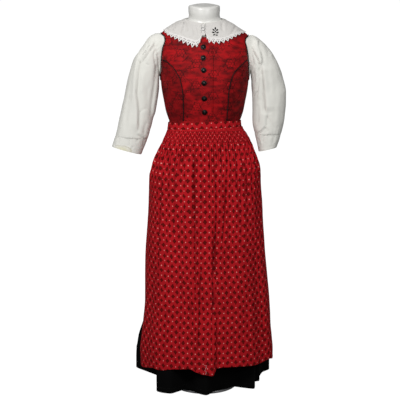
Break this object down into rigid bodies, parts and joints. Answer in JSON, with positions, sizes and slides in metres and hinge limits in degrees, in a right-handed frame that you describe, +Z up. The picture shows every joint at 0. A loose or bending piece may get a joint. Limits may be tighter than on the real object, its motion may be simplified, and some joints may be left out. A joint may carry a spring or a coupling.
{
  "type": "dirndl on a dress form",
  "caption": "Folk dress set on a limbless dress form: white blouse with lace collar, dark red buttoned bodice, long black skirt and red printed apron.",
  "frame": {"origin": "centre of the stand base's underside, on the floor", "axes": "+Z up the pole, -Y the front of the dress, -X the wearer's right"},
  "size_m": [0.6395, 0.4216, 1.438],
  "materials": {
    "form_gloss": "white glossy shell",
    "stand_metal": "brushed",
    "blouse_white": "white cotton, plain weave",
    "lace": "white needle lace with small eyelets",
    "brocade_red": "dark red tone-on-tone floral damask, slight sheen",
    "piping_black": "black satin-covered cord",
    "button_metal": "dark antique metal, lighter domed centre",
    "stud_metal": "light grey",
    "skirt_black": "black wool, matt",
    "apron_print": "red cotton print of small dark diamonds and white dots"
  },
  "bodies": {
    "root": {"form_torso": "form_gloss", "form_pole": "stand_metal", "form_base": "stand_metal", "blouse_front_l": "blouse_white", "blouse_front_r": "blouse_white", "blouse_back": "blouse_white", "blouse_collar": "blouse_white", "collar_lace": "lace", "collar_tab": "blouse_white", "collar_stud": "stud_metal", "blouse_sleeve_r": "blouse_white", "blouse_cuff_r": "blouse_white", "blouse_sleeve_l": "blouse_white", "blouse_cuff_l": "blouse_white", "bodice_front_r": "brocade_red", "bodice_front_l": "brocade_red", "bodice_side_r": "brocade_red", "bodice_side_l": "brocade_red", "bodice_back": "brocade_red", "princess_piping_r": "piping_black", "princess_piping_l": "piping_black", "armhole_piping_r": "piping_black", "armhole_piping_l": "piping_black", "button_1": "button_metal", "button_2": "button_metal", "button_3": "button_metal", "button_4": "button_metal", "button_5": "button_metal", "button_6": "button_metal", "skirt": "skirt_black", "apron_panel": "apron_print", "apron_smocking": "apron_print", "apron_waistband": "apron_print", "apron_tie_r": "apron_print", "apron_tie_l": "apron_print", "apron_knot": "apron_print", "apron_tail_r": "apron_print", "apron_tail_l": "apron_print"}
  },
  "joints": []
}
